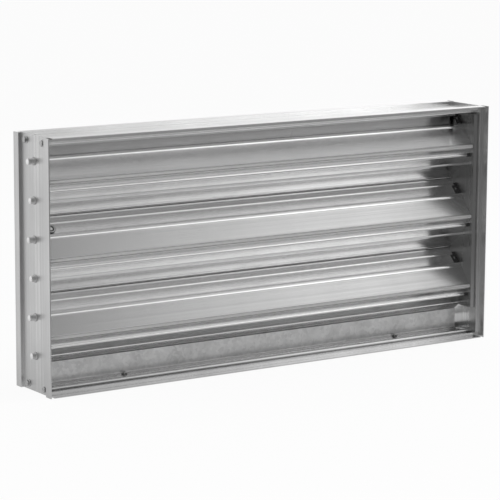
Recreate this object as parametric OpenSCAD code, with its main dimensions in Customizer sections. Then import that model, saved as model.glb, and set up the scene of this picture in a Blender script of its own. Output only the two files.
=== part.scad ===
// Rectangular opposed blade air damper: an extruded aluminium frame, six hollow
// extruded blades on round pivot pins, and a train of six gear wheels that turns
// neighbouring blades opposite ways. X runs along the blades, Y through the frame
// from the front face to the rear face, and Z is up. The origin is on the floor,
// midway between the jambs and midway between the two faces.

/* [Frame] */
// Outside width over the jambs
frame_w = 971; // [700:1:1200]
// Outside height of the frame
frame_h = 457; // [400:1:520]
// Depth from the front face to the rear face
frame_d = 127; // [120:1:160]
// Wall of the frame extrusion
frame_wall = 2; // [1.6:0.1:2.4]
// Width of the raised band along each face of the frame
band_w = 18; // [14:0.5:20]
// How far the bands stand out from the web between them
band_step = 6; // [5:0.25:7]
// Outside radius of a screw port
port_r = 3.5; // [3.2:0.1:3.8]

/* [Blades] */
// Gap between the top edge of the closed top blade and the head
head_gap = 3.55; // [2:0.05:8]
// Gap between the lowest pivot tube and the panel below it
panel_gap = 5.2; // [4:0.2:12]
// Angle of a closed blade from the vertical
blade_tilt = 45.6; // [44:0.1:50]
// Gap between a blade end and the web of the jamb
end_gap = 6.5; // [5.5:0.25:9]
// Wall of the hollow blade extrusion
skin = 1.6; // [1.2:0.1:1.8]
// Outside radius of the tube that the pivot pins fit in
axle_tube_r = 7.8; // [7.6:0.1:8.4]
// Outside radius of the second tube of the blade
rib_tube_r = 3.6; // [3.2:0.1:4]
// Distance of the second tube from the pivot
rib_tube_s = 28; // [24:0.5:30]
// Radius of the soft bulb along each blade edge
bulb_r = 1.4; // [1.1:0.05:1.8]

/* [Pivots] */
// Radius of a pivot pin
pin_r = 6; // [5.6:0.05:6]
// Length of pin inside the blade
pin_grip = 60; // [30:1:120]
// How far the long pins stand out of the jamb
long_pin = 13.5; // [12:0.5:20]
// How far the short pins stand out of the jamb
short_pin = 9.5; // [8:0.5:11.5]
// Radius of the bushing in the jamb
bush_r = 7; // [6.9:0.1:7.3]
// Radius of the lip of a bushing
bush_lip_r = 7.8; // [7.6:0.1:9]
// Thickness of the lip of a bushing
bush_lip = 1.2; // [1:0.1:1.8]
// Length of the plug in each end of a blade
cap_t = 6; // [4:0.5:12]

/* [Gears] */
// Number of teeth on each gear wheel, an even number
teeth = 24; // [20:2:32]
// Thickness of a gear wheel
gear_t = 8; // [6:0.5:9]
// Radius of the hub of a gear wheel
hub_r = 10; // [8:0.5:12]
// Length of the hub beyond the wheel
hub_len = 5; // [3:0.5:6]
// Play between meshing teeth
backlash = 0.3; // [0.2:0.05:0.5]

/* [Lower panel] */
// Height of the top edge of the panel above the floor
panel_top = 52; // [40:0.5:54]
// Distance of the panel in front of mid depth
panel_y = 6; // [4:0.5:10]
// Thickness of the panel sheet
panel_t = 1.2; // [0.8:0.1:1.6]
// Height of the bar along the foot of the panel
bar_h = 8; // [7.8:0.1:10]
// Depth of that bar
bar_d = 4; // [3:0.25:6]

/* [Seals] */
// Half width of the raised part of a jamb seal
seal_half = 37; // [36:0.25:38]
// Width of the flat edge of a jamb seal
seal_edge = 4; // [3:0.25:5]
// Thickness of a jamb seal
seal_t = 0.5; // [0.4:0.05:0.6]
// Height of the lower end of a jamb seal
seal_foot = 57; // [56:0.5:70]

/* [Fasteners] */
// Radius of a screw shank
shank_r = 2.1; // [1.9:0.05:2.1]
// Radius of the washer flange of a corner screw
flange_r = 6.8; // [6:0.1:7]
// Width across the flats of a hexagon head
hex_af = 9.5; // [8:0.1:10]
// Height of a hexagon head above its flange
hex_h = 3.8; // [3:0.1:4]
// Thickness of the washer flange of a corner screw
flange_h = 1.6; // [1:0.1:2]

/* [Hidden] */
BLADES = [1, 2, 3, 4, 5, 6];
$fn = 48;
tiny = 0.01;

// Running and seating clearances
run_fit = 0.05;
seat_fit = 0.1;
face_gap = 0.3;

// Planes of the frame
half_w = frame_w / 2;
half_d = frame_d / 2;
web_out = half_w - band_step;
web_in = web_out - frame_wall;
step_y = half_d - band_w;
rail_len = 2 * web_in;
rail_web_top = band_step + frame_wall;
port_drop = port_r - frame_wall / 4;
port_z = rail_web_top + port_drop;

// Six blades share the height between the head and the panel
first_axle_z = panel_top + panel_gap + axle_tube_r;
blade_pitch = (frame_h - rail_web_top - head_gap - first_axle_z + face_gap / 2) / 5.5;
half_height = (blade_pitch - face_gap) / 2;
// The pivots, counted from the top blade down
function axle_z(k) = first_axle_z + (6 - k) * blade_pitch;
// Odd blades lean back at the top and even blades lean forward
function is_odd(k) = k % 2 == 1;
function blade_turn(k) = is_odd(k) ? 90 - blade_tilt : 90 + blade_tilt;

// The blade along its length and across its chord
blade_half = web_in - end_gap;
edge_wall = 2.1;
edge_half = 1.9;
slot_half = 0.8;
// The bulbs of neighbouring blades nearly meet half way between the pivots
bulb_s = (half_height - bulb_r) / cos(blade_tilt);
edge_s = bulb_s - bulb_r - seat_fit;
// The screw ports lie just above the face of the closed top blade
port_rise = frame_h - port_z - axle_z(1);
port_reach = port_r + edge_half + face_gap;
port_y = (port_rise * sin(blade_tilt) - port_reach) / cos(blade_tilt);
// Nothing is in the way at the front, so the front ports lie nearer the band
front_port_inset = 11.5;
PORTS = [front_port_inset - step_y, port_y];

// One frame extrusion in section, open side down, with its bands at height 0
module rail_section() {
    translate([-half_d, 0])
        square([band_w, frame_wall]);
    translate([half_d - band_w, 0])
        square([band_w, frame_wall]);
    translate([-step_y - frame_wall, 0])
        square([frame_wall, rail_web_top]);
    translate([step_y, 0])
        square([frame_wall, rail_web_top]);
    translate([-step_y - frame_wall, band_step])
        square([2 * (step_y + frame_wall), frame_wall]);
}

// A round screw port with the open slot of an extrusion
module screw_port() {
    difference() {
        circle(r = port_r);
        circle(r = shank_r + seat_fit);
        translate([-slot_half, 0])
            square([2 * slot_half, port_r + 1]);
    }
}

// The section of the head and sill, with ports for the corner screws
module cross_rail_section() {
    rail_section();
    for (y = PORTS)
        translate([y, port_z])
            screw_port();
}

module cross_rail() {
    rotate([90, 0, 90])
        translate([0, 0, -rail_len / 2])
            linear_extrude(rail_len)
                cross_rail_section();
}

module sill() {
    color("silver")
        cross_rail();
}

module head() {
    color("silver")
        translate([0, 0, frame_h])
            mirror([0, 0, 1])
                cross_rail();
}

// A jamb stands on its end, with holes for the bushings and corner screws
module jamb() {
    difference() {
        translate([-half_w, 0, 0])
            rotate([0, 0, 90])
                mirror([0, 1, 0])
                    linear_extrude(frame_h)
                        rail_section();
        for (k = BLADES)
            translate([-half_w, 0, axle_z(k)])
                rotate([0, 90, 0])
                    cylinder(r = bush_r + run_fit, h = band_step + frame_wall + 1);
        for (y = PORTS, z = [port_z, frame_h - port_z])
            translate([-half_w, y, z])
                rotate([0, 90, 0])
                    cylinder(r = shank_r + seat_fit, h = band_step + frame_wall + 1);
    }
}

module jamb_left() {
    color("lightgray")
        jamb();
}

module jamb_right() {
    color("lightgray")
        mirror([1, 0, 0])
            jamb();
}

// A hexagon head on a round flange, with its seat at height 0 and its shank below
module hex_screw(washer_r, washer_h, af, head_h, len) {
    cylinder(r = washer_r, h = washer_h);
    translate([0, 0, washer_h - tiny])
        cylinder(d = af / cos(30), h = head_h + tiny, $fn = 6);
    translate([0, 0, -len])
        cylinder(r = shank_r, h = len + tiny);
}

module corner_screws() {
    screw_len = 24;
    for (y = PORTS, z = [port_z, frame_h - port_z])
        translate([-web_out, y, z])
            rotate([0, -90, 0])
                hex_screw(flange_r, flange_h, hex_af, hex_h, screw_len);
}

module corner_screws_left() {
    color("gainsboro")
        corner_screws();
}

module corner_screws_right() {
    color("gainsboro")
        mirror([1, 0, 0])
            corner_screws();
}

// The blank-off panel is one folded sheet on the sill
panel_end_gap = 20;
panel_half = web_in - panel_end_gap;
panel_screw_inset = 152.5;
panel_screw_x = panel_half - panel_screw_inset;
panel_screw_r = 5.2;
panel_shank_r = 1.6;
panel_screw_z = rail_web_top + panel_screw_r + seat_fit;
panel_top_fold = 8;
panel_foot_fold = 20;
foot_end_gap = 6.5;
foot_half = web_in - foot_end_gap;

module blank_off_panel() {
    color("darkgray")
        difference() {
            union() {
                translate([-panel_half, -panel_y, rail_web_top])
                    cube([2 * panel_half, panel_t, panel_top - rail_web_top]);
                translate([-panel_half, -panel_y, panel_top - panel_t])
                    cube([2 * panel_half, panel_top_fold, panel_t]);
                translate([-foot_half, -panel_y, rail_web_top])
                    cube([2 * foot_half, panel_foot_fold, panel_t]);
            }
            for (side = [-1, 1])
                translate([side * panel_screw_x, -panel_y - 1, panel_screw_z])
                    rotate([-90, 0, 0])
                        cylinder(r = panel_shank_r + seat_fit, h = panel_t + 2);
        }
}

module panel_bar() {
    color("silver")
        difference() {
            translate([-panel_half, -panel_y - bar_d, rail_web_top])
                cube([2 * panel_half, bar_d, bar_h]);
            for (side = [-1, 1])
                translate([side * panel_screw_x, -panel_y - bar_d - 1, panel_screw_z])
                    rotate([-90, 0, 0])
                        cylinder(r = panel_shank_r + seat_fit, h = bar_d + 2);
        }
}

module panel_screws() {
    washer_h = 1.2;
    head_af = 8;
    head_h = 3;
    point_len = 6;
    grip = bar_d + panel_t + point_len;
    color("gainsboro")
        for (side = [-1, 1])
            translate([side * panel_screw_x, -panel_y - bar_d, panel_screw_z])
                rotate([90, 0, 0]) {
                    cylinder(r = panel_screw_r, h = washer_h);
                    cylinder(d = head_af / cos(30), h = washer_h + head_h, $fn = 6);
                    translate([0, 0, -grip])
                        cylinder(r = panel_shank_r, h = grip + tiny);
                }
}

// The jamb seal is a thin spring strip, folded so that its raised middle lies close to
// the blade ends and its two flat edges lie on the web
seal_rise = web_in - blade_half - face_gap;
seal_slope = 3;
seal_foot_half = seal_half + seal_slope;
seal_out = seal_foot_half + seal_edge;

module seal_section() {
    translate([-web_in, 0])
        polygon([[0, -seal_out], [seal_t, -seal_out], [seal_t, -seal_foot_half],
                 [seal_rise, -seal_half], [seal_rise, seal_half], [seal_t, seal_foot_half],
                 [seal_t, seal_out], [0, seal_out], [0, seal_foot_half - seal_t],
                 [seal_rise - seal_t, seal_half - seal_t], [seal_rise - seal_t, seal_t - seal_half],
                 [0, seal_t - seal_foot_half]]);
}

module jamb_seal() {
    difference() {
        translate([0, 0, seal_foot])
            linear_extrude(frame_h - rail_web_top - 2 * port_drop - port_r - seal_foot)
                seal_section();
        for (k = BLADES)
            translate([-web_in - 1, 0, axle_z(k)])
                rotate([0, 90, 0])
                    cylinder(r = bush_lip_r + face_gap, h = end_gap + 2);
    }
}

module jamb_seal_left() {
    color("gray")
        jamb_seal();
}

module jamb_seal_right() {
    color("gray")
        mirror([1, 0, 0])
            jamb_seal();
}

// A flanged bushing: a lip outside the web and a shoulder up to the blade end
module bushing(k) {
    shoulder = web_in - blade_half - face_gap;
    translate([-web_out, 0, axle_z(k)])
        rotate([0, 90, 0])
            difference() {
                union() {
                    translate([0, 0, -bush_lip])
                        cylinder(r = bush_lip_r, h = bush_lip);
                    translate([0, 0, -tiny])
                        cylinder(r = bush_r, h = frame_wall + 2 * tiny);
                    translate([0, 0, frame_wall])
                        cylinder(r = bush_lip_r, h = shoulder);
                }
                translate([0, 0, -bush_lip - 1])
                    cylinder(r = pin_r + run_fit, h = bush_lip + frame_wall + shoulder + 2);
            }
}

module bushings_left() {
    color("dimgray")
        for (k = BLADES)
            bushing(k);
}

module bushings_right() {
    color("dimgray")
        mirror([1, 0, 0])
            for (k = BLADES)
                bushing(k);
}

// Puts a shape drawn along X, with the chord along Y, on pivot k of a closed blade
module on_pivot(k) {
    translate([0, 0, axle_z(k)])
        rotate([blade_turn(k), 0, 0])
            children();
}

// Carries a section along X from one place to another
module along_x(from, to) {
    translate([from, 0, 0])
        rotate([90, 0, 90])
            linear_extrude(to - from)
                children();
}

// Blade section: chord along the first axis, front face up. It is a pin tube and a
// smaller tube joined by two walls, a long plate below and a short curved plate above.
rib_tube_n = axle_tube_r - rib_tube_r - 0.4;
band_n = axle_tube_r - 2;
plate_half = skin / 2;
plate_root_n = axle_tube_r - 1.8;
dip = (edge_s - rib_tube_s) / 3.5;
plate_end = edge_s - edge_wall + edge_wall / 6;

module blade_outline() {
    circle(r = axle_tube_r);
    translate([rib_tube_s, rib_tube_n])
        circle(r = rib_tube_r);
    translate([0, band_n - skin])
        square([rib_tube_s, skin]);
    polygon([[0, -axle_tube_r], [skin, -axle_tube_r], [rib_tube_s + skin, -plate_half],
             [rib_tube_s, plate_half], [0, skin - axle_tube_r]]);
}

module edge_channel() {
    translate([edge_s - edge_wall, -edge_half])
        difference() {
            square([edge_wall, 2 * edge_half]);
            translate([edge_wall / 3, edge_half - slot_half])
                square([edge_wall, 2 * slot_half]);
        }
}

module blade_section() {
    difference() {
        union() {
            blade_outline();
            polygon([[-plate_end, -plate_half], [0, plate_root_n - skin],
                     [0, plate_root_n], [-plate_end, plate_half]]);
            polygon([[rib_tube_s, -plate_half], [plate_end, -plate_half],
                     [plate_end, plate_half],
                     [rib_tube_s + 2 * dip, plate_half + dip / 15],
                     [rib_tube_s + dip, plate_half + dip / 5],
                     [rib_tube_s, rib_tube_n + skin]]);
        }
        circle(r = pin_r + run_fit);
        translate([rib_tube_s, rib_tube_n])
            circle(r = rib_tube_r - skin);
    }
    edge_channel();
    mirror([1, 0])
        edge_channel();
}

module blade(k) {
    color("darkgray")
        on_pivot(k)
            along_x(-blade_half, blade_half)
                blade_section();
}

// A soft bulb on a flat root, one on each edge of the blade
module bulb_section() {
    translate([bulb_s, 0])
        circle(r = bulb_r);
    translate([edge_s - edge_wall * 2 / 3 + seat_fit, seat_fit - slot_half])
        square([bulb_s - edge_s + edge_wall * 2 / 3 - seat_fit, 2 * (slot_half - seat_fit)]);
}

module edge_seals(k) {
    color("gray")
        on_pivot(k)
            along_x(-blade_half, blade_half) {
                bulb_section();
                mirror([1, 0])
                    bulb_section();
            }
}

// A moulded plug closes the hollow between the two tubes at each end of the blade
plug_gap = 1.4;
plug_from = axle_tube_r + plug_gap;
plug_to = rib_tube_s - rib_tube_r - plug_gap;
function hollow_floor(s) = skin - axle_tube_r + s * (axle_tube_r - skin + plate_half) / rib_tube_s;

module cap_outline() {
    polygon([[plug_from, hollow_floor(plug_from)], [plug_to, hollow_floor(plug_to)],
             [plug_to, band_n - skin], [plug_from, band_n - skin]]);
}

module end_caps(k) {
    color("black")
        on_pivot(k) {
            along_x(blade_half - cap_t, blade_half)
                cap_outline();
            along_x(-blade_half, cap_t - blade_half)
                cap_outline();
        }
}

// Pins are round bar. Long pins are on odd blades, and right pins carry the gears.
function pin_out(k) = is_odd(k) ? long_pin : short_pin;
// The outer end of a left pin is turned down a little for a clamp
turned_r = pin_r - 0.5;
flat_depth = 1;

module pin_left(k) {
    color("lightgray")
        translate([-web_out - pin_out(k), 0, axle_z(k)])
            rotate([0, 90, 0]) {
                cylinder(r = turned_r, h = pin_out(k));
                translate([0, 0, pin_out(k) - bush_lip])
                    cylinder(r = pin_r, h = bush_lip + web_out - blade_half + pin_grip);
            }
}

// The gears run clear of the corner screws. A right pin has a flat that drives
// its gear, and a groove for the clip near its end.
hub_x = web_out + bush_lip + face_gap;
gear_x = web_out + flange_h + hex_h + face_gap;
clip_x = gear_x + gear_t + hub_len;
clip_t = 1;
groove_r = pin_r - 1;
pin_tip = 1.3;
right_end_x = clip_x + clip_t + pin_tip;

module pin_right(k) {
    color("lightgray")
        translate([0, 0, axle_z(k)])
            difference() {
                translate([blade_half - pin_grip, 0, 0])
                    rotate([0, 90, 0])
                        cylinder(r = pin_r, h = right_end_x - blade_half + pin_grip);
                translate([hub_x, -pin_r, pin_r - flat_depth])
                    cube([right_end_x, 2 * pin_r, 2 * flat_depth]);
                translate([clip_x, 0, 0])
                    rotate([0, 90, 0])
                        difference() {
                            cylinder(r = pin_r + 1, h = clip_t + seat_fit);
                            translate([0, 0, -1])
                                cylinder(r = groove_r, h = clip_t + 3);
                        }
            }
}

// Involute tooth form, worked out from the pitch and the number of teeth
pitch_r = blade_pitch / 2;
tooth_module = blade_pitch / teeth;
base_r = pitch_r * cos(20);
tip_r = pitch_r + 0.95 * tooth_module;
root_r = pitch_r - 1.2 * tooth_module;
flank_steps = 5;
function roll(r) = r <= base_r ? 0 : sqrt(pow(r / base_r, 2) - 1) * 180 / PI;
function inv_angle(r) = r <= base_r ? 0 : roll(r) - acos(base_r / r);
half_tooth = 90 / teeth - backlash / 2 / pitch_r * 90 / PI;
function flank_angle(r) = half_tooth + inv_angle(pitch_r) - inv_angle(r);
function flank_r(i) = base_r + (tip_r - base_r) * i / flank_steps;
function on_circle(r, a) = [r * sin(a), r * cos(a)];
function tooth(a) = concat(
    [on_circle(root_r, a - flank_angle(base_r))],
    [for (i = [0:flank_steps]) on_circle(flank_r(i), a - flank_angle(flank_r(i)))],
    [for (i = [flank_steps:-1:0]) on_circle(flank_r(i), a + flank_angle(flank_r(i)))],
    [on_circle(root_r, a + flank_angle(base_r))]);

module gear_section() {
    polygon([for (i = [0:teeth - 1]) each tooth(i * 360 / teeth)]);
}

// The wheel is thinned between hub and rim and has six round windows
dish_depth = 2;
rim_wall = 3.5;
dish_r = root_r - rim_wall;
window_r = (dish_r - hub_r) / 3;
window_ring_r = (hub_r + dish_r) / 2;

module gear(k) {
    color("whitesmoke")
        translate([gear_x, 0, axle_z(k)])
            rotate([90, 0, 90])
                rotate([0, 0, is_odd(k) ? 0 : 180 / teeth])
                    difference() {
                        union() {
                            linear_extrude(gear_t)
                                gear_section();
                            translate([0, 0, hub_x - gear_x])
                                cylinder(r = hub_r, h = gear_x - hub_x + gear_t + hub_len);
                        }
                        translate([0, 0, gear_t - dish_depth])
                            difference() {
                                cylinder(r = dish_r, h = hub_len);
                                translate([0, 0, -1])
                                    cylinder(r = hub_r, h = hub_len + 2);
                            }
                        for (a = [0:60:300])
                            rotate([0, 0, a])
                                translate([window_ring_r, 0, -1])
                                    cylinder(r = window_r, h = gear_t + 2);
                        rotate([0, 0, is_odd(k) ? 0 : -180 / teeth])
                            difference() {
                                translate([0, 0, hub_x - gear_x - 1])
                                    cylinder(r = pin_r + run_fit, h = right_end_x - hub_x);
                                translate([-pin_r - 1, pin_r - flat_depth + run_fit, hub_x - gear_x - 2])
                                    cube([2 * pin_r + 2, pin_r, right_end_x - hub_x + 2]);
                            }
                    }
}

// A round clip with a side opening snaps into the groove and holds the gear on its pin
module gear_clip(k) {
    clip_rim = 2.4;
    clip_r = pin_r + clip_rim;
    mouth = 2 * groove_r * cos(35);
    color("dimgray")
        translate([clip_x + seat_fit / 2, 0, axle_z(k)])
            rotate([90, 0, 90])
                linear_extrude(clip_t)
                    difference() {
                        circle(r = clip_r);
                        circle(r = groove_r + run_fit);
                        translate([-mouth / 2, -clip_r - 1])
                            square([mouth, clip_r + 1]);
                    }
}

// A round plug with a sunken ring closes an inspection hole in the third blade
plug_blade = 3;
plug_inset = 24;
plug_x = blade_half - plug_inset;
plug_r = 8;
plug_ring_r = 5.4;
plug_t = 1.2;

module inspection_plug() {
    color("dimgray")
        on_pivot(plug_blade)
            translate([-plug_x, (rib_tube_s + axle_tube_r - rib_tube_r) / 2, band_n])
                difference() {
                    cylinder(r = plug_r, h = plug_t);
                    translate([0, 0, plug_t / 2])
                        difference() {
                            cylinder(r = plug_ring_r, h = plug_t);
                            translate([0, 0, -plug_t])
                                cylinder(r = plug_ring_r / 2, h = 3 * plug_t);
                        }
                }
}

jamb_left();
jamb_right();
head();
sill();
corner_screws_left();
corner_screws_right();
blank_off_panel();
panel_bar();
panel_screws();
jamb_seal_left();
jamb_seal_right();
bushings_left();
bushings_right();
inspection_plug();
for (k = BLADES) {
    blade(k);
    pin_left(k);
    pin_right(k);
    edge_seals(k);
    end_caps(k);
    gear(k);
    gear_clip(k);
}
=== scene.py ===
import math

import bmesh
import bpy
import numpy as np
from mathutils import Matrix, geometry


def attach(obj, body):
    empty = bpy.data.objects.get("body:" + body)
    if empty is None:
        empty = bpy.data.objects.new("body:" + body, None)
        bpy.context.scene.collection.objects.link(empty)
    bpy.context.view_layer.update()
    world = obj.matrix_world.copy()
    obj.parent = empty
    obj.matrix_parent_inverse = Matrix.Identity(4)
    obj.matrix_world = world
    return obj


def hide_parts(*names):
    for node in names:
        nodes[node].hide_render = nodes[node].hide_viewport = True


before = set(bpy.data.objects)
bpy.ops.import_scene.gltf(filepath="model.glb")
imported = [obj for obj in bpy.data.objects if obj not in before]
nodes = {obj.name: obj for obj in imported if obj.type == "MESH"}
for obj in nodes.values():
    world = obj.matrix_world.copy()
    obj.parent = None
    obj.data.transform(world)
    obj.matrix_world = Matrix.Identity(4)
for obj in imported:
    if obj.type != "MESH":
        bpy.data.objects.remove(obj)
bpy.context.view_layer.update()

# Head and sill of the frame. The real ones are one aluminium extrusion with a raised band along
# each face, a web between them, and two screw ports on the inner side of the web. They are sawn
# square and run between the jambs.
MM, SHARP_FROM = 0.001, 30
ALONG_X, ALONG_Z = (1, 0, 0), (0, 0, 1)
WEB_IN, WEB_OUT, HALF_W, TOP = 477.5, 479.5, 485.5, 457.0
BAND_OUT, BAND_IN, BAND_T, WALL_IN, WEB_LOW, WEB_HIGH = 63.5, 45.5, 2.0, 47.5, 6.0, 8.0
PORTS_Y, PORT_H, PORT_R, BORE_R, SLOT = (27.6, -34.0), 11.0, 3.5, 2.2, 0.8


def rounded(corners, steps=4):
    """Outline with rounded corners. Each row is a corner's two coordinates and its radius. The
    arc touches both sides, so its ends lie radius times tan(half the turn) from the corner, and
    one more point is kept just beyond each end of the arc, so that the flats stay flat."""
    p, r = corners[:, :2], corners[:, 2]
    back, ahead = np.roll(p, 1, 0) - p, np.roll(p, -1, 0) - p
    lb, la = np.linalg.norm(back, axis=1), np.linalg.norm(ahead, axis=1)
    back, ahead = back / lb[:, None], ahead / la[:, None]
    half_turn = np.arccos(np.clip(-(back * ahead).sum(1), -1, 1)) / 2
    reach = np.minimum(r * np.tan(half_turn), 0.45 * np.minimum(lb, la))
    t = np.linspace(0, 1, steps + 1)[None, :, None]
    first = (p + back * reach[:, None])[:, None, :]
    last = (p + ahead * reach[:, None])[:, None, :]
    corner = p[:, None, :]
    bend = (first * (1 - t) + corner * t) * (1 - t) + (corner * (1 - t) + last * t) * t
    beyond = np.minimum(0.25, 0.04 * np.minimum(lb, la))[:, None]
    before = first[:, 0] + back * beyond
    after = last[:, 0] + ahead * beyond
    points = np.concatenate([before[:, None], bend, after[:, None]], 1)
    keep = np.ones(points.shape[:2], bool)
    keep[r == 0] = False
    keep[r == 0, 1] = True
    return points[keep]


def arc(cy, cz, radius, start, end, count):
    """Points on a circle about (cy, cz) from one angle to another, in degrees."""
    a = np.radians(np.linspace(start, end, count))
    return np.stack([cy + radius * np.cos(a), cz + radius * np.sin(a), 0 * a], 1)


def rail_outline(ports):
    """Outline of the frame extrusion: first coordinate through the depth, second up from the
    band. With ports, the inner side of the web carries two open rings for the corner screws."""
    ring = []
    for y in PORTS_Y if ports else ():
        foot = math.degrees(math.asin((PORT_H - WEB_HIGH) / PORT_R))
        lip, mouth = (math.degrees(math.acos(SLOT / r)) for r in (PORT_R, BORE_R))
        ring += [arc(y, PORT_H, PORT_R, -foot, lip, 14),
                 arc(y, PORT_H, BORE_R, mouth, -180 - mouth, 24),
                 arc(y, PORT_H, PORT_R, 180 - lip, 180 + foot, 14)]
    low = [[-BAND_OUT, 0, 0.5], [-BAND_IN, 0, 0.7], [-BAND_IN, WEB_LOW, 0.6], [BAND_IN, WEB_LOW, 0.6],
           [BAND_IN, 0, 0.7], [BAND_OUT, 0, 0.5], [BAND_OUT, BAND_T, 0.4], [WALL_IN, BAND_T, 0.5],
           [WALL_IN, WEB_HIGH, 0.6]]
    high = [[-WALL_IN, WEB_HIGH, 0.6], [-WALL_IN, BAND_T, 0.5], [-BAND_OUT, BAND_T, 0.4]]
    return rounded(np.concatenate([np.array(low)] + ring + [np.array(high)]))


def joined(parts):
    """Several (points, faces) shapes as one, each one's corner numbers moved up past the last."""
    points, faces, start = [], [], 0
    for p, f in parts:
        points.append(p)
        faces += [[i + start for i in face] for face in f]
        start += len(p)
    return np.concatenate(points), faces


def swept(outline, holes, start, end, place):
    """A section carried from start to end along X. Points are laid out as two copies of each
    loop, sides join the copies, and the two ends are filled with the holes left open. place
    turns rows of (along, first, second), in millimetres, into X, Y, Z."""
    loops = [outline] + list(holes)
    flat = np.concatenate(loops)
    count = len(flat)
    both = np.concatenate([np.column_stack([np.full(count, x), flat]) for x in (start, end)])
    faces, first = [], 0
    for loop in loops:
        n = len(loop)
        a = np.arange(n) + first
        b = (np.arange(n) + 1) % n + first
        faces += np.stack([a, b, b + count, a + count], 1).tolist()
        first += n
    fill = geometry.tessellate_polygon([[(u, v, 0) for u, v in loop] for loop in loops])
    faces += [list(t) for t in fill] + [[i + count for i in t] for t in fill]
    return place(both), faces


def made(name, shape, body, finish, replaced=()):
    """Puts a (points, faces) shape in millimetres into a mesh in metres, merges its seams, turns
    its faces outwards, shades it sharp where it bends by more than SHARP_FROM degrees, and hands
    the piece to its body, finish and CAD nodes."""
    mesh = bpy.data.meshes.new(name)
    mesh.from_pydata((shape[0] * MM).tolist(), [], shape[1])
    work = bmesh.new()
    work.from_mesh(mesh)
    bmesh.ops.remove_doubles(work, verts=work.verts, dist=2e-6)
    bmesh.ops.recalc_face_normals(work, faces=work.faces)
    work.to_mesh(mesh)
    work.free()
    mesh.shade_smooth()
    mesh.set_sharp_from_angle(angle=math.radians(SHARP_FROM))
    mesh.materials.append(finish)
    piece = bpy.data.objects.new(name, mesh)
    bpy.context.scene.collection.objects.link(piece)
    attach(piece, body)
    if replaced:
        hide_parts(*replaced)


def node(tree, kind, inputs=(), **settings):
    """One shader node. inputs is a list of (socket name or number, value or another output)."""
    made_node = tree.nodes.new(kind)
    for key, value in settings.items():
        setattr(made_node, key, value)
    for key, value in inputs:
        socket = made_node.inputs[key]
        if isinstance(value, bpy.types.NodeSocket):
            tree.links.new(value, socket)
        else:
            socket.default_value = value
    return made_node


def ramp(tree, source, low, high, dark, bright):
    """A value that runs from dark to bright as source runs from low to high."""
    limits = [(0, source), (1, low), (2, high), (3, dark), (4, bright)]
    return node(tree, "ShaderNodeMapRange", limits).outputs[0]


def times_plus(tree, first, factor, second):
    """first times factor, plus second."""
    terms = [(0, first), (1, factor), (2, second)]
    return node(tree, "ShaderNodeMath", terms, operation="MULTIPLY_ADD").outputs[0]


def own_place(tree):
    """The surface point in the object's own metres, which every pattern is laid on."""
    return node(tree, "ShaderNodeTexCoord").outputs["Object"]


def noise(tree, place, scale, detail, rough=0.5):
    """Noise of so many cells to a metre, with so many finer layers over it."""
    return node(tree, "ShaderNodeTexNoise", [("Vector", place), ("Scale", scale), ("Detail", detail),
                                              ("Roughness", rough)])


def paint_grey(tree, shader, grey):
    """Gives the shader a base colour with the same value in red, green and blue."""
    colour = node(tree, "ShaderNodeCombineColor", [(0, grey), (1, grey), (2, grey)])
    tree.links.new(colour.outputs[0], shader.inputs["Base Color"])


def emboss(tree, shader, height, strength, depth):
    """Bump of the given depth in metres where height goes from 0 to 1."""
    bump = node(tree, "ShaderNodeBump", [("Strength", strength), ("Distance", depth), ("Height", height)])
    tree.links.new(bump.outputs[0], shader.inputs["Normal"])


def new_finish(name, **constants):
    """A material with one Principled shader, whose constant values sit on its own sockets."""
    finish = bpy.data.materials.new(name)
    finish.use_nodes = True
    shader = finish.node_tree.nodes["Principled BSDF"]
    for key, value in constants.items():
        shader.inputs[key.replace("_", " ")].default_value = value
    return finish, finish.node_tree, shader


def mill_aluminium(name, along, drawn, tone, rough, lines):
    """Mill finish extrusion or rolled strip. Two noises give the die lines: the coordinate along
    the metal is multiplied by drawn, a small number, which draws the noise out that way. A
    broad even noise gives the cloudy handling marks. The lines spread a reflection across them
    and keep it sharp along them."""
    finish, tree, shader = new_finish(name, Metallic=1.0, Anisotropic=0.9, Anisotropic_Rotation=0.25)
    place = own_place(tree)
    scales = [drawn if a else 1 for a in along]
    die = node(tree, "ShaderNodeMapping", [("Vector", place), ("Scale", scales)]).outputs[0]
    fine = noise(tree, die, 900.0, 4.0, 0.7).outputs[0]
    coarse = noise(tree, die, 160.0, 3.0).outputs[0]
    cloud = noise(tree, place, 9.0, 5.0, 0.6).outputs[0]
    streak = times_plus(tree, fine, 1.0, coarse)
    both = times_plus(tree, cloud, 0.5, streak)
    paint_grey(tree, shader, ramp(tree, both, 0.9, 1.6, tone * 0.9, tone * 1.08))
    gloss = ramp(tree, both, 0.9, 1.6, rough + 0.08, rough - 0.06)
    tree.links.new(gloss, shader.inputs["Roughness"])
    emboss(tree, shader, streak, lines, 0.00006)
    way = node(tree, "ShaderNodeCombineXYZ", list(enumerate(along)))
    tree.links.new(way.outputs[0], shader.inputs["Tangent"])
    return finish


cross_rail = rail_outline(True)
# The head and sill are one metal. The head's lighter grey is painted light, and the sill's darker grey is
# painted shade.
for label, up, tone in (("sill", 1, 0.58), ("head", -1, 0.84)):
    rail_finish_painted_light = mill_aluminium(label + "_aluminium", ALONG_X, 0.001, tone, rough=0.12, lines=0.1)
    shape = swept(cross_rail, [], -WEB_IN, WEB_IN,
                  lambda p, up=up: np.stack([p[:, 0], p[:, 1], p[:, 2] if up > 0 else TOP - p[:, 2]], 1))
    made(label + "_extrusion", shape, "frame", rail_finish_painted_light, [label])

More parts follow.
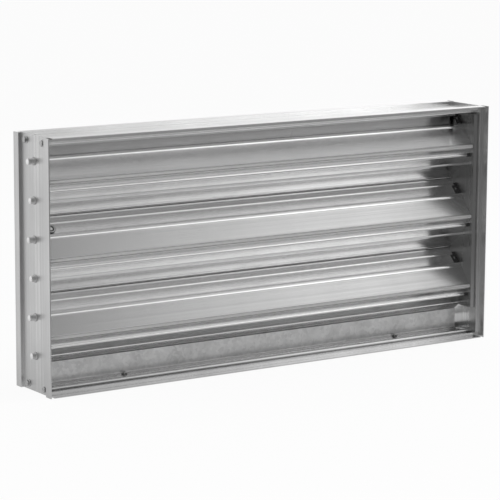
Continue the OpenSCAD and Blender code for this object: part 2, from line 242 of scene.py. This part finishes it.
# Jambs. The same extrusion without screw ports stands upright at both ends, over the sawn ends
# of the head and sill. It carries the bushings and takes the corner screws.
jamb_finish = mill_aluminium("frame_jamb_aluminium", ALONG_Z, 0.004, tone=0.64, rough=0.3, lines=0.3)
jamb_rail = rail_outline(False)
for label, side in (("left", -1), ("right", 1)):
    shape = swept(jamb_rail, [], 0, TOP,
                  lambda p, side=side: np.stack([side * (HALF_W - p[:, 2]), p[:, 1], p[:, 0]], 1))
    made("jamb_extrusion_" + label, shape, "frame", jamb_finish, ["jamb_" + label])

# Corner screws. Zinc plated self-tapping screws with a hexagon head on a washer flange, driven
# through the jambs into the ports of the head and sill, four at each end.


def turned(rows, spots, axes, columns=48):
    """A surface of revolution at each spot. A row gives height, radius and width across flats.
    The radius is the row's own, or that of a hexagon with those flats where this is smaller:
    half the flats over the cosine of the angle from the nearest flat."""
    rows = np.array(rows, float)
    angle = np.arange(columns) * 2 * np.pi / columns
    off_flat = (angle + np.pi / 6) % (np.pi / 3) - np.pi / 6
    flats = np.where(rows[:, 2:] > 0, rows[:, 2:] / 2 / np.cos(off_flat)[None, :], np.inf)
    radius = np.minimum(rows[:, 1:2], flats)
    height = np.repeat(rows[:, :1], columns, 1)
    side, up, out = (np.array(a, float) for a in axes)
    around = np.cos(angle)[None, :, None] * side + np.sin(angle)[None, :, None] * up
    points = (radius[..., None] * around + height[..., None] * out).reshape(-1, 3)
    a = np.arange((len(rows) - 1) * columns).reshape(-1, columns)
    b = np.roll(a, -1, 1)
    faces = np.stack([a, b, b + columns, a + columns], -1).reshape(-1, 4)
    return joined([(points + np.array(spot, float), faces.tolist()) for spot in spots])


def screw_rows(washer_r, washer_h, flats, head_h, shank_r, length):
    """Rows of a flanged hexagon screw from the point of its shank up to the flat of its head."""
    corner, top = flats / 2 / math.cos(math.pi / 6), washer_h + head_h
    return [[-length, 0, 0], [-length, 0.6 * shank_r, 0], [-length + 2.5, shank_r, 0], [0, shank_r, 0],
            [0, washer_r - 0.2, 0], [0.15, washer_r, 0], [0.5 * washer_h, washer_r, 0],
            [0.8 * washer_h, washer_r - 0.4, 0], [washer_h, corner + 0.35, 0],
            [washer_h + 0.15, corner + 0.05, flats], [top - 0.9, corner + 0.01, flats],
            [top - 0.6, corner - 0.2, flats], [top - 0.3, flats / 2 - 0.1, flats],
            [top, flats / 2 - 0.7, 0], [top, flats / 2 - 1.3, 0],
            [top - 0.35, flats / 2 - 1.9, 0], [top - 0.35, 0, 0]]


def plated_steel(name, tone, rough, speckle):
    """Plated steel: a fine speckle varies its grey and its gloss, and stands up a little."""
    finish, tree, shader = new_finish(name, Metallic=1.0)
    grain = noise(tree, own_place(tree), speckle, 4.0).outputs[0]
    paint_grey(tree, shader, ramp(tree, grain, 0.3, 0.7, tone * 0.86, tone * 1.1))
    gloss = ramp(tree, grain, 0.3, 0.7, rough + 0.06, rough - 0.06)
    tree.links.new(gloss, shader.inputs["Roughness"])
    emboss(tree, shader, grain, 0.15, 0.00005)
    return finish


SPECKLE = 700.0
zinc_finish = plated_steel("zinc_plate", 0.44, 0.3, SPECKLE)
corner_rows = screw_rows(washer_r=6.8, washer_h=1.6, flats=9.5, head_h=3.8, shank_r=2.1, length=24)
for label, side in (("left", -1), ("right", 1)):
    spots = [(side * WEB_OUT, y, z) for y in PORTS_Y for z in (PORT_H, TOP - PORT_H)]
    made("corner_screw_heads_" + label, turned(corner_rows, spots, ((0, 1, 0), (0, 0, 1), (side, 0, 0))),
         "frame", zinc_finish, ["corner_screws_" + label])

# Jamb seals. A thin stainless strip, folded so that its raised middle lies close to the blade
# ends, is fixed to the web of each jamb by its two flat edges.


def refinished(label, finish):
    """Gives a CAD node, which keeps its own shape, this finish."""
    for place in nodes[label].material_slots:
        place.material = finish


strip_finish = mill_aluminium("stainless_strip_rolled", ALONG_Z, 0.02, tone=0.36, rough=0.3, lines=0.1)
refinished("jamb_seal_left", strip_finish)
refinished("jamb_seal_right", strip_finish)

# Bushings. Moulded grey bushings sit in the web of the jambs, with a lip outside and a shoulder
# inside, one around each pivot pin.
BLADES, FIRST_AXLE, PITCH = 6, 65.0, 69.2
AXLES = {k: FIRST_AXLE + (BLADES - k) * PITCH for k in range(1, BLADES + 1)}
BLADE_HALF, PIN_R, BUSH_R = 471.0, 6.0, 7.0
LIP_R, LIP_T, SHOULDER_R, PIN_FIT, END_FIT = 7.3, 1.2, 7.8, 0.05, 0.3


def moulded(name, tone, rough):
    """Moulded plastic: a fine even grain in its bump, and a slight cloud in colour and gloss."""
    finish, tree, shader = new_finish(name, Metallic=0.0)
    place = own_place(tree)
    grain = noise(tree, place, 1500.0, 2.0).outputs[0]
    cloud = noise(tree, place, 60.0, 3.0).outputs[0]
    paint_grey(tree, shader, ramp(tree, cloud, 0.3, 0.7, tone * 0.8, tone * 1.2))
    gloss = ramp(tree, cloud, 0.3, 0.7, rough - 0.05, rough + 0.05)
    tree.links.new(gloss, shader.inputs["Roughness"])
    emboss(tree, shader, grain, 0.25, 0.00005)
    return finish


bushing_finish = moulded("grey_moulding", 0.3, 0.45)
bore, web_back = PIN_R + PIN_FIT, WEB_OUT - WEB_IN
tip = WEB_OUT - BLADE_HALF - END_FIT
bush_rows = [[-LIP_T, bore, 0], [-LIP_T, BUSH_R, 0], [0.15 - LIP_T, LIP_R - 0.1, 0],
             [0.4 - LIP_T, LIP_R, 0], [0, LIP_R, 0], [0, BUSH_R, 0], [web_back, BUSH_R, 0],
             [web_back, SHOULDER_R, 0], [tip - 0.4, SHOULDER_R, 0], [tip, SHOULDER_R - 0.4, 0],
             [tip, bore, 0], [-LIP_T, bore, 0]]
for label, side in (("left", -1), ("right", 1)):
    spots = [(side * WEB_OUT, 0, z) for z in AXLES.values()]
    made("bushing_set_" + label, turned(bush_rows, spots, ((0, 1, 0), (0, 0, 1), (-side, 0, 0))),
         "frame", bushing_finish, ["bushings_" + label])

# Blank-off panel. Galvanised sheet, folded at the top and foot, closes the space between the
# lowest blade and the sill. Its spangle is fine.


def galvanised(name, tone):
    """Zinc coated sheet: cells of fine spangle, each with its own grey and gloss, under a cloud."""
    finish, tree, shader = new_finish(name, Metallic=1.0)
    place = own_place(tree)
    warp = noise(tree, place, 180.0, 2.0).outputs["Color"]
    moved = node(tree, "ShaderNodeVectorMath", [(0, warp), (1, (0.006, 0.006, 0.006)), (2, place)],
                 operation="MULTIPLY_ADD").outputs[0]
    cells = node(tree, "ShaderNodeTexVoronoi", [("Vector", moved), ("Scale", 170.0)]).outputs["Color"]
    cell_grey = node(tree, "ShaderNodeSeparateColor", [(0, cells)]).outputs[0]
    cloud = noise(tree, place, 24.0, 4.0).outputs[0]
    both = times_plus(tree, cell_grey, 0.45, cloud)
    paint_grey(tree, shader, ramp(tree, both, 0.3, 1.15, tone * 0.86, tone * 1.12))
    tree.links.new(ramp(tree, both, 0.3, 1.15, 0.5, 0.36), shader.inputs["Roughness"])
    emboss(tree, shader, both, 0.2, 0.0001)
    return finish


refinished("blank_off_panel", galvanised("galvanised_spangle", 0.7))

# Panel bar. A flat aluminium bar clamps the foot of the panel along its whole length. Two screws
# go through it.
bar_finish = mill_aluminium("bar_aluminium", ALONG_X, 0.003, tone=0.7, rough=0.26, lines=0.3)
refinished("panel_bar", bar_finish)

# Panel screws. Two zinc plated screws with a hexagon head on a washer flange go through the bar and
# the panel from the front.
PANEL_SCREW_X, BAR_FRONT, PANEL_SCREW_Z = 305.0, -10.0, 13.3
panel_rows = screw_rows(washer_r=5.2, washer_h=1.2, flats=8, head_h=3, shank_r=1.6, length=11)
spots = [(x, BAR_FRONT, PANEL_SCREW_Z) for x in (-PANEL_SCREW_X, PANEL_SCREW_X)]
made("panel_screw_heads", turned(panel_rows, spots, ((1, 0, 0), (0, 0, 1), (0, -1, 0))),
     "frame", zinc_finish, ["panel_screws"])

# Blades. Hollow aluminium extrusions, 942 mm long: a tube for the pins, a smaller tube, two walls
# between them, a plate on each side and a channel for a seal along each edge. Neighbours lean
# opposite ways, so their edges meet.
TILT = 45.6
EDGE, CHANNEL, MOUTH, LIP, PLATE = 45.74, 43.64, 1.4, 1.9, 0.8
TUBE_R, RIB_S, RIB_N, RIB_R, BAND, SKIN = 7.8, 28.0, 3.8, 3.6, 5.8, 1.6
BAND_FROM, BAND_TO = 5.22, 25.01
PLATE_FRONT, PLATE_BACK = [-5.7, 5.33, 0.8], [-6.93, 3.58, 0.8]
REAR_WALL = [[1.6, -7.8, 0.5], [29.2, -0.95, 0.5]]
RIB_SLOPE = [[38.14, 1.14, 6], [33.07, 1.81, 6], [31.49, 2.93, 1.2]]


def on_pivot(k):
    """Places rows of (along, chord, front): turns chord and front about X by the blade's angle
    and lifts them to pivot k."""
    a = math.radians(90 - TILT if k % 2 else 90 + TILT)
    return lambda p: np.stack([p[:, 0], p[:, 1] * math.cos(a) - p[:, 2] * math.sin(a),
                               p[:, 1] * math.sin(a) + p[:, 2] * math.cos(a) + AXLES[k]], 1)


def channel_end(side):
    """The edge channel on one side, from the back of the plate round to its front."""
    rows = [[CHANNEL, -PLATE, 0.3], [CHANNEL, -LIP, 0.3], [EDGE, -LIP, 0.25], [EDGE, -PLATE, 0.1],
            [EDGE - MOUTH, -PLATE, 0], [EDGE - MOUTH, PLATE, 0], [EDGE, PLATE, 0.1],
            [EDGE, LIP, 0.25], [CHANNEL, LIP, 0.3], [CHANNEL, PLATE, 0.3]]
    return np.array(rows) * [side, side, 1]


# Round the blade: the pin tube's back, the rear wall, one seal channel, the small tube, the front
# wall, the pin tube's front and the other channel. Rows are chord, front and corner radius.
blade_outline = rounded(np.concatenate([
    [PLATE_BACK], arc(0, 0, TUBE_R, 159, 266, 22), REAR_WALL, channel_end(1),
    RIB_SLOPE, arc(RIB_S, RIB_N, RIB_R, -6, 138, 20),
    [[BAND_TO, BAND, 0.6], [BAND_FROM, BAND, 0.6]], arc(0, 0, TUBE_R, 54, 131, 18),
    [PLATE_FRONT], channel_end(-1)]))
pin_bore = arc(0, 0, PIN_R + PIN_FIT, 0, -350, 36)[:, :2]
small_bore = arc(RIB_S, RIB_N, RIB_R - SKIN, 0, -345, 24)[:, :2]
hollow = np.concatenate([arc(0, 0, TUBE_R, 32.6, -36.4, 12),
                         arc(RIB_S, RIB_N, RIB_R, 248, 173.6, 10)])[:, :2]
blade_finish = mill_aluminium("blade_mill_aluminium", ALONG_X, 0.0005, tone=0.82, rough=0.17, lines=0.05)
holes = [pin_bore, small_bore, hollow]
for k in AXLES:
    made(f"blade_extrusion_{k}", swept(blade_outline, holes, -BLADE_HALF, BLADE_HALF, on_pivot(k)),
         f"vane_{k}", blade_finish, [f"blade_{k}"])

# Edge seals. A firm grey vinyl bulb on a flat root slides into the channel along each blade edge.
# Along the rear edges it is painted black: painted shade of the dark valleys between blades.


def seal_vinyl(name, front_tone, rear_painted_shade):
    """Grey vinyl, painted black on the rear edges by its place in depth as painted shade of the valleys.
    """
    finish, tree, shader = new_finish(name, Roughness=0.5)
    place = own_place(tree)
    depth = node(tree, "ShaderNodeSeparateXYZ", [(0, place)]).outputs["Y"]
    grain = noise(tree, place, 900.0, 2.0).outputs[0]
    shade = [(0, ramp(tree, depth, -0.01, 0.01, front_tone, rear_painted_shade)),
             (1, ramp(tree, grain, 0.3, 0.7, 0.9, 1.1))]
    paint_grey(tree, shader, node(tree, "ShaderNodeMath", shade, operation="MULTIPLY").outputs[0])
    emboss(tree, shader, grain, 0.2, 0.00005)
    return finish


# The rear tone is painted shade: all the seals are the same grey vinyl.
vinyl_finish = seal_vinyl("grey_vinyl_painted_rear_shade", 0.42, 0.03)
for k in AXLES:
    refinished(f"edge_seals_{k}", vinyl_finish)

# End caps. A black moulded cap closes each blade end. A plug fills the hollow between the tubes
# and a sleeve wraps the end of the small tube. On odd blades a thin plate with a three-cornered
# window lies on the front wall.
PLUG, SLEEVE, SLEEVE_T, CAP_PLATE, CAP_T = 6.0, 6.5, 0.35, 12.0, 0.8
black_finish = moulded("black_moulding", 0.025, 0.45)
plug_outline = np.array([[9.2, -3.9], [23, -0.45], [23, 4.2], [9.2, 4.2]])
sleeve_outline = np.concatenate([arc(RIB_S, RIB_N, RIB_R + SLEEVE_T, -10, 150, 20),
                                 arc(RIB_S, RIB_N, RIB_R - 0.1, 150, -10, 20)])[:, :2]
plate_outline = np.array([[0, 6.2], [CAP_PLATE, 6.2], [CAP_PLATE, 24.2], [0, 24.2]])
window = np.array([[2.5, 20], [8.5, 20], [8.5, 11]])
for k in AXLES:
    lay, parts = on_pivot(k), []
    for side in (-1, 1):
        tip = side * BLADE_HALF
        parts += [swept(plug_outline, [], tip - side * PLUG, tip, lay),
                  swept(sleeve_outline, [], tip - side * SLEEVE, tip + side * 0.05, lay)]
        if k % 2:
            parts.append(swept(plate_outline, [window], BAND - 0.1, BAND + CAP_T,
                               lambda p, tip=tip, side=side: lay(
                                   np.stack([tip - side * p[:, 1], p[:, 2], p[:, 0]], 1))))
    made(f"end_cap_pair_{k}", joined(parts), f"vane_{k}", black_finish,
         [f"end_caps_{k}"])

# Pivot pins. Drawn steel bar, pressed into the blade ends. Odd blades have the longer left pins,
# and every left pin is turned down outside the bushing for a clamp.


def drawn_bar(name):
    """Drawn bar with turned ends: fine rings around the axis, under a small cloud."""
    finish, tree, shader = new_finish(name, Metallic=1.0, Anisotropic=0.3)
    place = own_place(tree)
    around = node(tree, "ShaderNodeMapping", [("Vector", place), ("Scale", (1, 0.05, 0.05))])
    rings = noise(tree, around.outputs[0], 1500.0, 3.0).outputs[0]
    both = times_plus(tree, rings, 1.0, noise(tree, place, 220.0, 3.0).outputs[0])
    paint_grey(tree, shader, ramp(tree, both, 0.7, 1.3, 0.7, 0.88))
    tree.links.new(ramp(tree, both, 0.7, 1.3, 0.5, 0.4), shader.inputs["Roughness"])
    emboss(tree, shader, rings, 0.2, 0.00004)
    return finish


LONG_PIN, SHORT_PIN, TURNED_R, HELD = 13.5, 9.5, 5.5, 60.0
bar_steel = drawn_bar("drawn_bar_steel")
for k, z in AXLES.items():
    start = WEB_OUT + (LONG_PIN if k % 2 else SHORT_PIN)
    step, inner = WEB_OUT + LIP_T, BLADE_HALF - HELD
    rows = [[start, 0, 0], [start, TURNED_R - 1.2, 0], [start - 0.3, TURNED_R - 0.55, 0],
            [start - 1, TURNED_R, 0], [step + 0.25, TURNED_R, 0], [step, TURNED_R + 0.15, 0],
            [step, PIN_R, 0], [inner + 0.8, PIN_R, 0], [inner, PIN_R - 0.7, 0], [inner, 0, 0]]
    made(f"pivot_pin_left_{k}", turned(rows, [(0, 0, z)], ((0, 1, 0), (0, 0, 1), (-1, 0, 0))),
         f"vane_{k}", bar_steel, [f"pin_left_{k}"])
    refinished(f"pin_right_{k}", bar_steel)

# Inspection plug. A small black plug with a bright snap ring and a bright centre rivet sits on the
# front wall near the left end of the third blade.
PLUG_FROM_END, PLUG_S, PLUG_R, PLUG_TOP = 26.0, 15.3, 9.6, 1.6
turn = on_pivot(3)
middle = turn(np.array([[PLUG_FROM_END - BLADE_HALF, PLUG_S, BAND]]))[0]
out = turn(np.array([[0.0, 0.0, 1.0]]))[0] - turn(np.array([[0.0, 0.0, 0.0]]))[0]
along = np.array([1.0, 0.0, 0.0])
plug_axes = (along, np.cross(out, along), out)
plug_rows = [[-0.05, 0, 0], [-0.05, PLUG_R, 0], [PLUG_TOP - 0.3, PLUG_R, 0],
             [PLUG_TOP, PLUG_R - 0.3, 0], [PLUG_TOP, 0, 0]]
made("plug_disc", turned(plug_rows, [middle], plug_axes), "vane_3", black_finish,
     ["inspection_plug"])
ring_rows = [[1.5, 6.6, 0], [1.5, 8.5, 0], [2.1, 8.4, 0], [2.3, 8.0, 0], [2.3, 7.1, 0],
             [2.1, 6.7, 0], [1.5, 6.6, 0]]
rivet_rows = [[1.5, 0, 0], [1.5, 4.3, 0], [2.0, 4.1, 0], [2.3, 3.4, 0], [2.5, 2.0, 0], [2.55, 0, 0]]
bright_finish = plated_steel("bright_snap_ring", 0.85, 0.3, SPECKLE)
made("plug_snap_ring", joined([turned(rows, [middle], plug_axes) for rows in (ring_rows, rivet_rows)]),
     "vane_3", bright_finish)

# Gear wheels. Moulded wheels on the flats of the right pins mesh with each other, so the blades
# turn together. A round clip holds each one.
gear_finish = moulded("natural_gear_nylon", 0.62, 0.4)
clip_finish = plated_steel("dark_spring_steel", 0.2, 0.35, 500.0)
for k in AXLES:
    refinished(f"gear_{k}", gear_finish)
    refinished(f"gear_clip_{k}", clip_finish)

# Floor. A plain white floor that keeps the object's shadow. Metal mirrors it dim in front of the
# object and bright behind it.


def seen_directly(tree):
    """1 for rays from the camera, from metal or through glass. They see the painted background,
    and all other rays see plain light."""
    path = node(tree, "ShaderNodeLightPath")
    first = node(tree, "ShaderNodeMath", [(0, path.outputs["Is Camera Ray"]),
                                          (1, path.outputs["Is Glossy Ray"])], operation="MAXIMUM")
    last = node(tree, "ShaderNodeMath", [(0, first.outputs[0]),
                                         (1, path.outputs["Is Transmission Ray"])], operation="MAXIMUM")
    return last.outputs[0]


def blended(tree, share, low, high):
    """low where share is 0, high where it is 1, and a mix of both between."""
    return node(tree, "ShaderNodeMapRange", [(0, share), (3, low), (4, high)]).outputs[0]


def camera_or(tree, reflected, direct):
    """direct where the camera looks straight at it, and reflected where metal mirrors it."""
    path = node(tree, "ShaderNodeLightPath")
    return blended(tree, path.outputs["Is Camera Ray"], reflected, direct)


FRONT_FLOOR, REAR_FLOOR, FLOOR_GLOW, FLOOR_HALF = 0.22, 0.95, 0.92, 15
floor_paint, tree, shader = new_finish("floor_white", Base_Color=(0.85, 0.85, 0.85, 1),
                                       Roughness=0.9, Specular_IOR_Level=0.1)
floor_depth = node(tree, "ShaderNodeSeparateXYZ", [(0, own_place(tree))]).outputs["Y"]
floor_level = camera_or(tree, ramp(tree, floor_depth, -0.8, 0.4, FRONT_FLOOR, REAR_FLOOR), 1.0)
white = node(tree, "ShaderNodeEmission", [("Color", (1, 1, 1, 1)), ("Strength", floor_level)])
share = node(tree, "ShaderNodeMath", [(0, seen_directly(tree)), (1, FLOOR_GLOW)], operation="MULTIPLY")
mixed = node(tree, "ShaderNodeMixShader", [(0, share.outputs[0]), (1, shader.outputs[0]),
                                            (2, white.outputs[0])])
tree.links.new(mixed.outputs[0], tree.nodes["Material Output"].inputs[0])
floor_mesh = bpy.data.meshes.new("floor")
corners = [(x * FLOOR_HALF, y * FLOOR_HALF, 0) for x, y in ((-1, -1), (1, -1), (1, 1), (-1, 1))]
floor_mesh.from_pydata(corners, [], [(0, 1, 2, 3)])
floor_mesh.materials.append(floor_paint)
floor = bpy.data.objects.new("floor", floor_mesh)
bpy.context.scene.collection.objects.link(floor)

# Studio light. The backdrop behind is brighter at both sides than in the middle. The room in front
# is dim, with a long soft box low in front that grows brighter to the right and ends there, and a
# weaker one overhead.
SIDE_FROM, SIDE_TO, BOX_FADE, BOX_END = 0.44, 0.66, 0.606, 0.614
world = bpy.data.worlds.new("studio")
bpy.context.scene.world = world
world.use_nodes = True
tree = world.node_tree
plain = tree.nodes["Background"]
plain.inputs["Color"].default_value = (1, 1, 1, 1)
plain.inputs["Strength"].default_value = 0.7
way = node(tree, "ShaderNodeSeparateXYZ", [(0, node(tree, "ShaderNodeTexCoord").outputs["Generated"])])
across, depth, height = (way.outputs[axis] for axis in "XYZ")
left_back = ramp(tree, across, 0.1, 0.42, 1.1, 0.6)
low_back = times_plus(tree, ramp(tree, across, SIDE_FROM, 0.6, 0.0, 0.5), 1.0, left_back)
backdrop = blended(tree, ramp(tree, height, 0.35, 0.9, 0, 1), low_back, 0.68)
past_box = ramp(tree, across, BOX_FADE, BOX_END, 0, 1)
soft_box = blended(tree, past_box, ramp(tree, across, SIDE_FROM, SIDE_TO, 0.75, 2.3), 0.5)
overhead = blended(tree, past_box, ramp(tree, across, SIDE_FROM, SIDE_TO, 0.15, 1.2), 0.5)
front = blended(tree, ramp(tree, height, 0.36, 0.6, 0, 1), soft_box, overhead)
front = blended(tree, ramp(tree, across, -0.4, 0.2, 0, 1), 0.2, front)
front = blended(tree, ramp(tree, height, 0.0, 0.15, 0, 1), 0.15, front)
room = blended(tree, ramp(tree, depth, -0.35, 0.1, 0, 1), front, backdrop)
white = node(tree, "ShaderNodeBackground", [("Color", (1, 1, 1, 1)),
                                             ("Strength", camera_or(tree, room, 1.0))])
mixed = node(tree, "ShaderNodeMixShader", [(0, seen_directly(tree)), (1, plain.outputs[0]),
                                            (2, white.outputs[0])])
tree.links.new(mixed.outputs[0], tree.nodes["World Output"].inputs[0])


def lamp(name, place, aim, size, power):
    """A square soft lamp at place, turned so that it shines at aim. Metal doesn't mirror it."""
    data = bpy.data.lights.new(name, "AREA")
    data.shape = "SQUARE"
    data.size = size
    data.energy = power
    light = bpy.data.objects.new(name, data)
    bpy.context.scene.collection.objects.link(light)
    away = np.array(place, float) - np.array(aim, float)
    pitch = math.acos(away[2] / np.linalg.norm(away))
    light.location = place
    light.rotation_euler = (pitch, 0, math.atan2(away[0], -away[1]))
    light.visible_glossy = False


lamp("key_lamp", (1.6, -0.6, 2.2), (0.1, 0, 0.2), size=1.2, power=18)
lamp("fill_lamp", (-2.4, -2.0, 1.6), (0, 0, 0.2), size=1.6, power=20)

# Camera. It stands where the photograph was taken from, and takes a square picture. Its place and
# its angles were fitted to the corners of the frame.
CAMERA_AT, LENS, FILM = (-2.39955, -3.55309, 0.95770), 168.06, 36
AZIMUTH, ELEVATION, ROLL = (math.radians(a) for a in (-33.731, 9.8956, 0.2736))
back = np.array([math.sin(AZIMUTH) * math.cos(ELEVATION), -math.cos(AZIMUTH) * math.cos(ELEVATION),
                 math.sin(ELEVATION)])
level = np.array([math.cos(AZIMUTH), math.sin(AZIMUTH), 0.0])
upright = np.cross(back, level)
right = level * math.cos(ROLL) + upright * math.sin(ROLL)
upward = -level * math.sin(ROLL) + upright * math.cos(ROLL)
view = bpy.data.cameras.new("camera")
view.sensor_width, view.lens = FILM, LENS
camera = bpy.data.objects.new("camera", view)
bpy.context.scene.collection.objects.link(camera)
grid = np.eye(4)
grid[:3, :] = np.column_stack([right, upward, back, CAMERA_AT])
camera.matrix_world = Matrix(grid.tolist())
bpy.context.scene.camera = camera
bpy.context.scene.view_settings.view_transform = "Standard"
